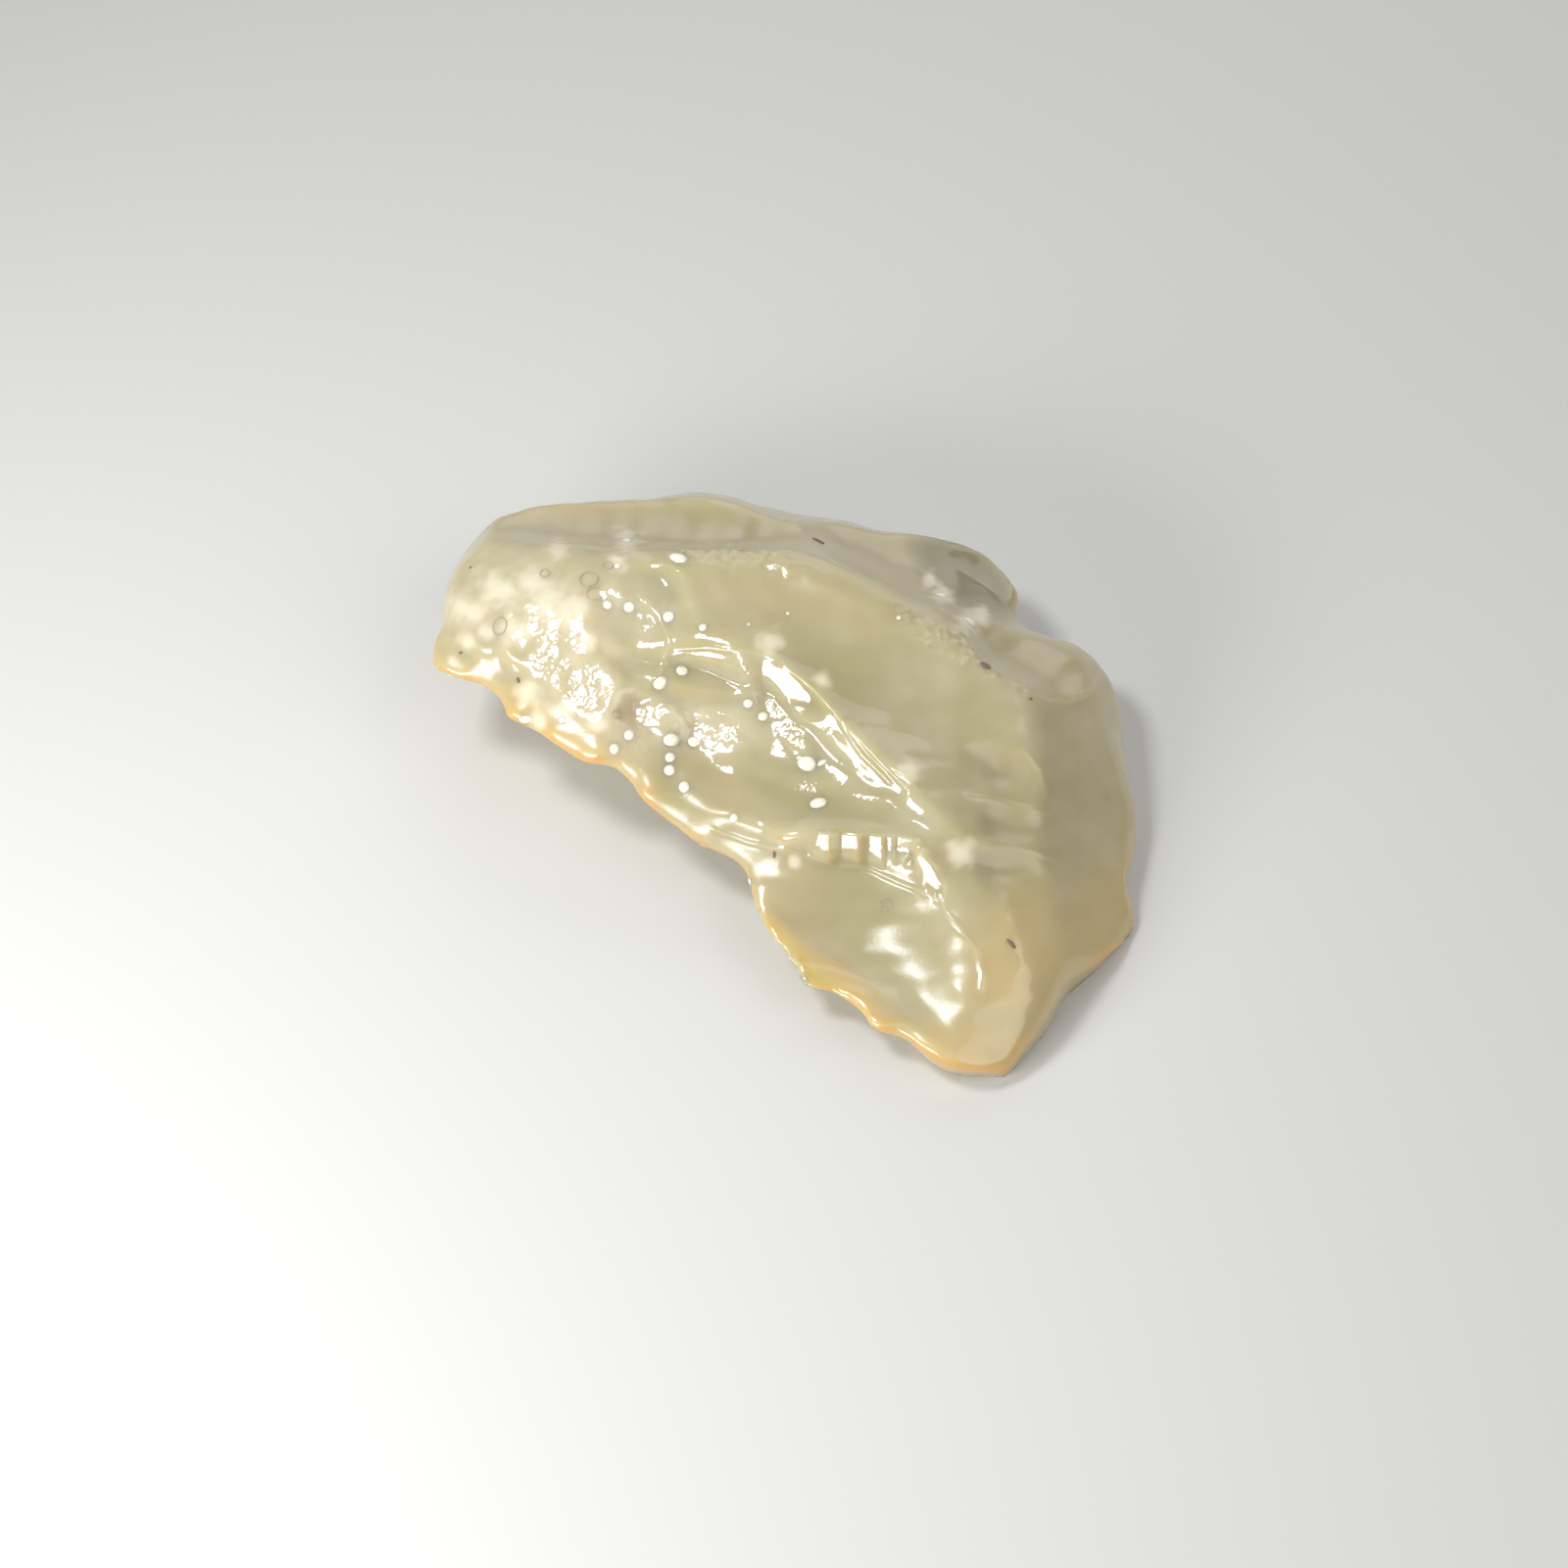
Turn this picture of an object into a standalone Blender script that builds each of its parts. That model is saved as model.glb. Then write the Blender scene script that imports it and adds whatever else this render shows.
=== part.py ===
"""One raw piece of Libyan desert glass, lying as it was photographed.

The stone is one solid: a blank lofted from its sharp front rim over two ledges and a crest to its rear
rim and back underneath, from which shell-shaped scars are struck, as they are when glass breaks. Sizes
are in millimetres until the mesh is written in metres. Places on the stone are given as the photograph
shows them: so many millimetres across and up from the middle of the picture, at a height above the table.
"""

import math

import bmesh
import bpy
from mathutils import Matrix, Vector

MM = 0.001

# How the photograph looks at the stone
VIEW_ELEVATION = math.radians(50)
VIEW_DISTANCE = 145.0
MIDDLE_HEIGHT = 4.0

# The loft of the blank: cross-sections along it, and steps round each of them
STATIONS = 110
FACE_STEPS = 6
LEDGE_STEPS = 2
CURVE_STEPS = 12

# The underside: how far it swells behind, and in front as a share of its width, how far below the
# table's level the blank reaches, and how far below the rim at least
REAR_UNDER_SWELL = -0.2
FRONT_UNDER_SWELL = -0.04
BASE_LEVEL = -0.5
LEAST_RIM = 0.1

# The block below the table's level
TABLE_SIZE = 60.0

# The cutters' roundness
EGG_SEGMENTS = 44
EGG_RINGS = 28
BITE_SUBDIVISIONS = 3

# The finished skin
SKIN_GRID = 0.2
SKIN_WEAR = 3
SKIN_TRIANGLES = 9300

# The rim from the left tip along the front to the lower tip: across, up, height
FRONT_RIM = [
    (-15.1, 5.4, 5.3), (-14.8, 4.8, 5.3), (-12.8, 4.1, 5.2), (-12.0, 3.5, 5.1), (-11.8, 2.8, 5.0),
    (-10.6, 2.2, 5.0), (-9.5, 1.5, 5.0), (-8.6, 0.9, 4.9), (-7.4, 0.7, 4.8), (-6.5, -0.2, 4.3),
    (-5.1, -1.6, 3.7), (-3.5, -2.7, 3.3), (-2.2, -3.3, 3.0), (-1.8, -3.9, 2.9), (-1.6, -5.2, 2.7),
    (-0.6, -6.6, 2.5), (0.3, -7.8, 2.2), (0.6, -8.5, 2.1), (2.0, -8.9, 2.0), (3.1, -9.6, 2.0),
    (3.6, -10.3, 2.0), (4.9, -10.5, 1.9), (6.2, -11.5, 1.8), (7.2, -12.0, 1.6), (8.5, -12.1, 1.4),
    (9.4, -12.1, 0.9),
]

# The rim from the left tip round the back and the right to the lower tip: across, up, height
REAR_RIM = [
    (-15.1, 5.4, 5.3), (-14.6, 6.5, 5.3), (-14.4, 8.3, 5.3), (-13.9, 9.5, 5.3), (-12.9, 10.8, 5.3),
    (-11.8, 11.4, 5.3), (-10.0, 11.9, 5.3), (-7.5, 12.0, 5.2), (-5.6, 12.1, 5.2), (-4.2, 12.4, 5.2),
    (-2.4, 12.3, 5.1), (-1.0, 11.9, 4.9), (0.7, 11.4, 4.7), (2.5, 11.2, 4.5), (4.2, 10.7, 4.3),
    (5.8, 10.6, 4.1), (7.3, 10.3, 3.8), (8.4, 9.9, 3.6), (9.3, 9.1, 3.4), (10.0, 8.1, 3.3),
    (9.9, 7.2, 3.4), (10.4, 6.6, 3.5), (11.6, 6.2, 3.4), (12.5, 6.0, 3.2), (13.6, 4.9, 2.8),
    (14.3, 3.5, 2.3), (14.5, 1.6, 1.7), (14.8, -0.3, 1.4), (15.0, -1.8, 1.2), (14.6, -3.4, 1.0),
    (14.4, -4.0, 0.9), (14.8, -5.7, 0.5), (14.1, -6.8, 0.4), (13.0, -8.0, 0.3), (12.0, -9.0, 0.3),
    (11.4, -10.1, 0.3), (10.3, -11.3, 0.5), (9.4, -12.1, 0.9),
]

# Lines that run from the left tip to the lower tip between the rims, one point for each tenth of the
# way: the crest, then the top and the foot of the upper ledge, then those of the lower ledge
CREST = [
    (-15.1, 5.4, 5.3), (-12.5, 9.8, 6.9), (-8.3, 10.4, 8.0), (-4.2, 10.2, 8.9), (0.0, 9.8, 9.4),
    (4.2, 7.9, 8.9), (7.9, 5.7, 7.7), (10.5, 3.6, 6.5), (11.9, -1.7, 4.6), (12.2, -7.7, 2.3),
    (9.4, -12.1, 1.0),
]
UPPER_TOP = [
    (-15.1, 5.4, 5.3), (-12.5, 6.7, 6.5), (-9.4, 6.3, 7.3), (-6.2, 6.7, 7.9), (-2.7, 5.9, 8.0),
    (0.6, 4.2, 7.6), (3.3, 1.7, 6.9), (5.8, -0.6, 6.0), (8.8, -3.8, 4.7), (10.4, -8.3, 2.9),
    (9.4, -12.1, 1.0),
]
UPPER_FOOT = [
    (-15.1, 5.4, 5.3), (-12.6, 6.2, 6.3), (-9.6, 5.4, 6.8), (-6.5, 5.3, 6.9), (-3.2, 4.4, 6.6),
    (-0.1, 2.9, 6.2), (2.8, 0.5, 5.6), (5.5, -1.4, 5.3), (8.2, -4.2, 4.5), (9.8, -8.7, 2.8),
    (9.4, -12.1, 1.0),
]
LOWER_TOP = [
    (-15.1, 5.4, 5.3), (-12.6, 5.0, 5.8), (-10.1, 3.7, 5.9), (-7.2, 2.3, 5.8), (-4.2, 0.4, 4.8),
    (-1.5, -2.1, 4.5), (1.4, -2.1, 5.2), (5.0, -2.4, 5.1), (6.8, -4.8, 4.3), (8.8, -9.2, 2.6),
    (9.4, -12.1, 1.0),
]
LOWER_FOOT = [
    (-15.1, 5.4, 5.3), (-12.6, 4.5, 5.5), (-10.3, 2.9, 5.5), (-7.4, 1.6, 5.3), (-4.7, -0.5, 4.3),
    (-1.8, -2.8, 4.0), (1.1, -3.2, 3.9), (4.4, -3.9, 3.7), (6.3, -5.5, 3.5), (7.9, -9.8, 2.4),
    (9.4, -12.1, 1.0),
]

# How far the faces between those lines stand proud of straight (hollow where below zero), by tenths
MAIN_SWELL = [0.0, 0.2, 0.3, 0.1, -0.2, -0.6, -0.7, -0.5, -0.3, -0.1, 0.0]
MIDDLE_SWELL = [0.0, 0.2, 0.2, -0.1, -0.3, -0.4, -0.4, -0.1, 0.0, 0.0, 0.0]
FRONT_SWELL = [0.0, 0.2, 0.3, 0.4, 0.3, 0.0, -0.5, -0.8, -0.7, -0.2, 0.0]
REAR_SWELL = [0.0, 0.3, 0.5, 0.6, 0.5, 0.4, 0.4, 0.5, 0.4, 0.2, 0.0]

# How far the base stands in from the front and the rear rim, as shares of the width, and its level,
# one for each tenth of the way from the left tip to the lower tip
BASE_FROM_FRONT = [0.50, 0.46, 0.44, 0.42, 0.36, 0.30, 0.25, 0.20, 0.16, 0.12, 0.50]
BASE_FROM_REAR = [0.50, 0.34, 0.28, 0.25, 0.20, 0.14, 0.10, 0.06, 0.04, 0.04, 0.50]
BASE_RISE = [5.5, 3.6, 1.3, 0.2, 0.0, 0.0, 0.0, 0.0, 0.0, 0.0, 0.4]

# Scars, each struck by an egg-shaped cutter: name, the two ends and one side of its mouth (across, up,
# height), depth of the scar below its mouth, and how far the egg is sunk (small gives steep sides)
TOP_SCARS = [
    ("olive", (-7.3, 8.4, 8.0), (-4.7, 4.7, 7.4), (-4.4, 7.4, 8.1), 0.3, 4.0),
    ("left_front", (-14.9, 6.4, 6.3), (-6.9, 4.2, 7.7), (-10.6, 8.6, 8.0), 0.5, 5.0),
    ("front_lip", (1.4, -8.0, 2.7), (5.6, -9.9, 2.8), (4.0, -8.1, 3.3), 0.4, 2.5),
    ("front_dish", (4.2, -7.6, 3.2), (7.6, -10.6, 2.9), (7.2, -7.8, 3.5), 0.4, 2.5),
    ("back_left", (-12.6, 10.8, 6.6), (2.1, 10.2, 8.6), (-4.2, 10.0, 9.3), 0.6, 4.0),
    ("back_right", (0.2, 11.0, 7.8), (10.4, 6.6, 5.7), (4.4, 8.4, 8.9), 0.6, 4.0),
    ("back_chip", (5.6, 10.0, 5.4), (10.0, 6.9, 5.1), (7.4, 7.4, 6.9), 0.5, 2.0),
    ("shoulder", (7.9, 6.4, 6.9), (13.9, 4.4, 4.4), (11.5, 3.5, 6.2), 0.5, 2.5),
    ("flute_upper", (8.3, 1.2, 5.9), (12.1, 0.2, 5.6), (10.2, 2.2, 6.4), 0.6, 2.5),
    ("flute_middle", (8.1, -1.3, 5.3), (12.3, -1.9, 4.9), (10.2, -0.6, 5.5), 0.5, 2.5),
    ("flute_lower", (7.8, -3.3, 4.8), (12.1, -4.2, 4.4), (9.9, -2.5, 5.0), 0.5, 2.5),
    ("right", (11.8, 3.2, 5.2), (13.5, -7.4, 1.5), (12.2, -2.0, 4.2), 0.4, 4.0),
]

# The same for scars out of the photograph's sight, as places over the table: across, away, height
HIDDEN_SCARS = [
    ("under_left", (-13.0, 7.0, 3.4), (-1.0, -1.2, 1.3), (-8.6, 5.6, 1.0), 1.0, 4.0),
    ("under_front", (-0.6, -5.0, 1.0), (6.4, -12.2, 0.5), (3.0, -7.6, 0.3), 0.4, 4.0),
    ("rear_left", (-11.5, 13.4, 3.4), (-3.4, 15.2, 2.6), (-7.0, 12.6, 0.6), 0.7, 4.0),
    ("rear_middle", (-4.6, 15.4, 3.0), (5.0, 14.0, 2.4), (0.4, 13.4, 0.4), 0.6, 4.0),
]

# Small bites out of the upper side of the front rim: share of the way along it, radius, depth
RIM_BITES = [
    (0.10, 3.6, 0.12), (0.19, 2.4, 0.10), (0.27, 4.2, 0.16), (0.35, 2.2, 0.10), (0.43, 3.4, 0.14),
    (0.53, 4.2, 0.16), (0.61, 2.6, 0.12), (0.70, 3.6, 0.15), (0.82, 3.4, 0.14), (0.91, 4.0, 0.14),
]

# Which way the upper side of the front rim faces
BITE_FACING = Vector((-0.35, -0.45, 0.82))

# The fine unevenness of the broken faces
SWELL_SIZE = 2.8
SWELL_HEIGHT = 0.3
SWELL_MIDDLE = 0.3

GLASS_COLOUR = (0.66, 0.59, 0.38, 1.0)
GLASS_ROUGHNESS = 0.12


def seen_at(across, up, height):
    """The point at this height that the photograph shows this far across and up from its middle."""
    sine, cosine = math.sin(VIEW_ELEVATION), math.cos(VIEW_ELEVATION)
    middle = Vector((0, 0, MIDDLE_HEIGHT))
    eye = middle + VIEW_DISTANCE * Vector((0, -cosine, sine))
    shown = middle + Vector((across, up * sine, up * cosine))
    ray = shown - eye
    return eye + ray * ((height - eye.z) / ray.z)


def between(before, start, end, after, t):
    """The place a share t of the way from start to end, on a smooth curve through all four."""
    leaving, arriving = (end - before) / 2, (after - start) / 2
    return (
        start * (2 * t**3 - 3 * t**2 + 1) + leaving * (t**3 - 2 * t**2 + t)
        + end * (3 * t**2 - 2 * t**3) + arriving * (t**3 - t**2)
    )


def smooth_rail(points, count):
    """Evenly spaced points along a smooth curve through the given ones."""
    fine = []
    padded = [points[0], *points, points[-1]]
    for before, start, end, after in zip(padded, padded[1:], padded[2:], padded[3:]):
        for step in range(CURVE_STEPS):
            fine.append(between(before, start, end, after, step / CURVE_STEPS))
    fine.append(points[-1])
    travelled = [0.0]
    for a, b in zip(fine, fine[1:]):
        travelled.append(travelled[-1] + (b - a).length)
    rail, at = [], 0
    for station in range(count):
        wanted = travelled[-1] * station / (count - 1)
        while at < len(fine) - 2 and travelled[at + 1] < wanted:
            at += 1
        share = (wanted - travelled[at]) / (travelled[at + 1] - travelled[at])
        rail.append(fine[at].lerp(fine[at + 1], min(1.0, share)))
    return rail


def by_tenths(values, share):
    """Something given at every tenth of the way, read along a smooth curve anywhere between."""
    last = len(values) - 1
    low = min(int(share * last), last - 1)
    after = values[min(low + 2, last)]
    return between(values[max(low - 1, 0)], values[low], values[low + 1], after, share * last - low)


def arc(start, end, steps, swell):
    """Points from start up to but not including end, standing proud of the straight by swell."""
    return [
        start.lerp(end, k / steps) + Vector((0, 0, swell * math.sin(math.pi * k / steps)))
        for k in range(steps)
    ]


def section(share, front, rear):
    """One closed cross-section of the blank, from the front rim over the crest and back underneath."""
    crest, upper_top, upper_foot, lower_top, lower_foot = (
        by_tenths([seen_at(*p) for p in line], share)
        for line in (CREST, UPPER_TOP, UPPER_FOOT, LOWER_TOP, LOWER_FOOT)
    )
    level = BASE_LEVEL + by_tenths(BASE_RISE, share)
    front_foot = front.lerp(rear, by_tenths(BASE_FROM_FRONT, share))
    rear_foot = rear.lerp(front, by_tenths(BASE_FROM_REAR, share))
    front_foot.z = min(level, front_foot.z - LEAST_RIM)
    rear_foot.z = min(level, rear_foot.z - LEAST_RIM)
    return (
        arc(front, lower_foot, FACE_STEPS, by_tenths(FRONT_SWELL, share))
        + arc(lower_foot, lower_top, LEDGE_STEPS, 0)
        + arc(lower_top, upper_foot, FACE_STEPS, by_tenths(MIDDLE_SWELL, share))
        + arc(upper_foot, upper_top, LEDGE_STEPS, 0)
        + arc(upper_top, crest, FACE_STEPS, by_tenths(MAIN_SWELL, share))
        + arc(crest, rear, FACE_STEPS, by_tenths(REAR_SWELL, share))
        + arc(rear, rear_foot, FACE_STEPS, REAR_UNDER_SWELL)
        + arc(rear_foot, front_foot, LEDGE_STEPS, 0)
        + arc(front_foot, front, FACE_STEPS, FRONT_UNDER_SWELL * (front - front_foot).length)
    )


def make_glass():
    """Milky pale-yellow glass with a gloss."""
    glass = bpy.data.materials.new("milky_yellow_glass")
    glass.use_nodes = True
    surface = glass.node_tree.nodes["Principled BSDF"]
    surface.inputs["Base Color"].default_value = GLASS_COLOUR
    surface.inputs["Roughness"].default_value = GLASS_ROUGHNESS
    surface.inputs["Metallic"].default_value = 0.0
    return glass


def make_blank():
    """The unbroken lump, lofted through its cross-sections."""
    front = smooth_rail([seen_at(*p) for p in FRONT_RIM], STATIONS)
    rear = smooth_rail([seen_at(*p) for p in REAR_RIM], STATIONS)
    build = bmesh.new()
    loops = []
    for station in range(1, STATIONS - 1):
        ring = section(station / (STATIONS - 1), front[station], rear[station])
        verts = [build.verts.new(p * MM) for p in ring]
        loops.append([build.edges.new(pair) for pair in zip(verts, verts[1:] + verts[:1])])
    for near, far in zip(loops, loops[1:]):
        bmesh.ops.bridge_loops(build, edges=near + far)
    bmesh.ops.holes_fill(build, edges=build.edges, sides=0)
    bmesh.ops.recalc_face_normals(build, faces=build.faces)
    mesh = bpy.data.meshes.new("desert_glass")
    build.to_mesh(mesh)
    build.free()
    stone = bpy.data.objects.new("desert_glass", mesh)
    bpy.context.collection.objects.link(stone)
    return stone


def link_cutter(name, build):
    """Puts a cutter's shape, given in millimetres, in the scene where it doesn't render."""
    bmesh.ops.scale(build, vec=(MM, MM, MM), verts=build.verts)
    mesh = bpy.data.meshes.new(name)
    build.to_mesh(mesh)
    build.free()
    cutter = bpy.data.objects.new(name, mesh)
    bpy.context.collection.objects.link(cutter)
    cutter.hide_render = True
    cutter.display_type = "WIRE"
    return cutter


def make_striker(name, start, end, side, depth, sunk, outward):
    """An egg-shaped cutter for a scar whose mouth has these two ends and this side."""
    middle = start.lerp(end, 0.5)
    along = (end - start).normalized()
    sideways = side - middle
    sideways -= along * sideways.dot(along)
    half_width = sideways.length
    sideways.normalize()
    out = along.cross(sideways)
    if out.z * outward < 0:
        sideways, out = -sideways, -out
    tall = depth * sunk
    spread = math.sqrt(1 - (1 - 1 / sunk) ** 2)
    build = bmesh.new()
    bmesh.ops.create_uvsphere(build, u_segments=EGG_SEGMENTS, v_segments=EGG_RINGS, radius=1.0)
    size = ((end - start).length / 2 / spread, half_width / spread, tall)
    bmesh.ops.scale(build, vec=size, verts=build.verts)
    bmesh.ops.translate(build, vec=(0, 0, tall - depth), verts=build.verts)
    turned = Matrix((along, sideways, out)).transposed().to_4x4()
    bmesh.ops.transform(build, matrix=Matrix.Translation(middle) @ turned, verts=build.verts)
    return link_cutter("striker_" + name, build)


def make_bite(number, rim, radius, depth):
    """A ball that takes a bite of this depth out of the rim's sloping upper side."""
    build = bmesh.new()
    place = Matrix.Translation(rim + BITE_FACING.normalized() * (radius - depth))
    bmesh.ops.create_icosphere(build, subdivisions=BITE_SUBDIVISIONS, radius=radius, matrix=place)
    return link_cutter("bite_%d" % number, build)


def make_table():
    """A block below the table's level, which leaves the flat face that the stone rests on."""
    build = bmesh.new()
    bmesh.ops.create_cube(build, size=TABLE_SIZE, matrix=Matrix.Translation((0, 0, -TABLE_SIZE / 2)))
    return link_cutter("table", build)


def cut(stone, cutter):
    """Takes the cutter's shape out of the stone."""
    taken = stone.modifiers.new(cutter.name, "BOOLEAN")
    taken.operation = "DIFFERENCE"
    taken.solver = "EXACT"
    taken.object = cutter


def add_skin(stone):
    """An even skin over the struck faces, gently uneven, with few enough triangles."""
    skin = stone.modifiers.new("skin", "REMESH")
    skin.mode = "VOXEL"
    skin.voxel_size = SKIN_GRID * MM
    skin.use_smooth_shade = True
    worn = stone.modifiers.new("worn", "SMOOTH")
    worn.factor = 0.5
    worn.iterations = SKIN_WEAR
    waves = bpy.data.textures.new("broken_face", "CLOUDS")
    waves.noise_scale = SWELL_SIZE * MM
    uneven = stone.modifiers.new("uneven", "DISPLACE")
    uneven.texture = waves
    uneven.strength = SWELL_HEIGHT * MM
    uneven.mid_level = SWELL_MIDDLE
    fewer = stone.modifiers.new("fewer", "DECIMATE")
    whole = stone.evaluated_get(bpy.context.evaluated_depsgraph_get()).data
    whole.calc_loop_triangles()
    fewer.ratio = SKIN_TRIANGLES / len(whole.loop_triangles)


def centre_on_base():
    """Moves everything so that the stone's origin is the middle of its footprint on the table."""
    bpy.context.view_layer.update()
    stone = bpy.data.objects["desert_glass"]
    places = [v.co for v in stone.evaluated_get(bpy.context.evaluated_depsgraph_get()).data.vertices]
    for axis in (0, 1):
        middle = (min(p[axis] for p in places) + max(p[axis] for p in places)) / 2
        for thing in bpy.data.objects:
            thing.location[axis] -= middle


def main():
    for old in list(bpy.data.objects):
        bpy.data.objects.remove(old, do_unlink=True)
    stone = make_blank()
    stone.data.materials.append(make_glass())
    for name, start, end, side, depth, sunk in TOP_SCARS:
        mouth = [seen_at(*place) for place in (start, end, side)]
        cut(stone, make_striker(name, *mouth, depth, sunk, outward=1))
    for name, start, end, side, depth, sunk in HIDDEN_SCARS:
        mouth = [Vector(place) for place in (start, end, side)]
        cut(stone, make_striker(name, *mouth, depth, sunk, outward=-1))
    rim = smooth_rail([seen_at(*p) for p in FRONT_RIM], STATIONS)
    for number, (share, radius, depth) in enumerate(RIM_BITES):
        cut(stone, make_bite(number, rim[round(share * (STATIONS - 1))], radius, depth))
    add_skin(stone)
    cut(stone, make_table())
    centre_on_base()


main()
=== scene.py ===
import math
import random

import bmesh
import bpy
import numpy as np
from mathutils import Matrix, Vector, noise
from mathutils.bvhtree import BVHTree


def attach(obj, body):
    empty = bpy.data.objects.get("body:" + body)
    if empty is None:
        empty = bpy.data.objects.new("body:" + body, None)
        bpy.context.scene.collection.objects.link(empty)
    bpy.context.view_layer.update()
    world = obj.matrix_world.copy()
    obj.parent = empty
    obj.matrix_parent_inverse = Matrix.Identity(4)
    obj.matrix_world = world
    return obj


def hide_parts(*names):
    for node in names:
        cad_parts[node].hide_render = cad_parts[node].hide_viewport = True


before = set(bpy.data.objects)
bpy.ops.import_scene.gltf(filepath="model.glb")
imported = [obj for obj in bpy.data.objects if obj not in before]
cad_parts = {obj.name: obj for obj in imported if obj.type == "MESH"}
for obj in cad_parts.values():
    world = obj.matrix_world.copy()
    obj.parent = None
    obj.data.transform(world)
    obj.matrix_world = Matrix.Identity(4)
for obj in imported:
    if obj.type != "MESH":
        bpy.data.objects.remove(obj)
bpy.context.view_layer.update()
print("frame loaded")

# A raw flake of natural desert glass. Places on it are pixels of the photograph, counted from its
# top left corner. Every other size is in millimetres, unless its name says otherwise.
mm = 0.001

photo = {
    "pixels": 1600,
    "pixelsPerMm": 24.0,
    "elevation": 50.0,
    "distance": 145.0,
    "sensor": 36.0,
    "aim": (0.039, -1.676, 4.0),
}


# camera

tilt = math.radians(photo["elevation"])
aimAt = Vector(photo["aim"])
towardsEye = Vector((0, -math.cos(tilt), math.sin(tilt)))
upInPhoto = Vector((0, math.sin(tilt), math.cos(tilt)))
eyeAt = aimAt + towardsEye * photo["distance"]


def photoPlaces(points):
    # where points in mm show in the photograph, in pixels
    ray = points - np.array(eyeAt)
    depth = -(ray @ np.array(towardsEye))
    scale = photo["distance"] * photo["pixelsPerMm"] / depth
    middle = photo["pixels"] / 2
    return np.stack([middle + ray[:, 0] * scale, middle - (ray @ np.array(upInPhoto)) * scale], axis=1)


def photoRay(x, y):
    # direction from the eye through a pixel
    middle = photo["pixels"] / 2
    across, up = (x - middle) / photo["pixelsPerMm"], (middle - y) / photo["pixelsPerMm"]
    return (aimAt + Vector((across, 0, 0)) + upInPhoto * up - eyeAt).normalized()


lens = bpy.data.cameras.new("camera")
lens.sensor_width = photo["sensor"]
lens.lens = photo["sensor"] * photo["distance"] * photo["pixelsPerMm"] / photo["pixels"]
lens.clip_start = 0.005
camera = bpy.data.objects.new("camera", lens)
bpy.context.collection.objects.link(camera)
camera.location = eyeAt * mm
camera.rotation_euler = (math.pi / 2 - tilt, 0, 0)
bpy.context.scene.camera = camera


# the stone's shape

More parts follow.
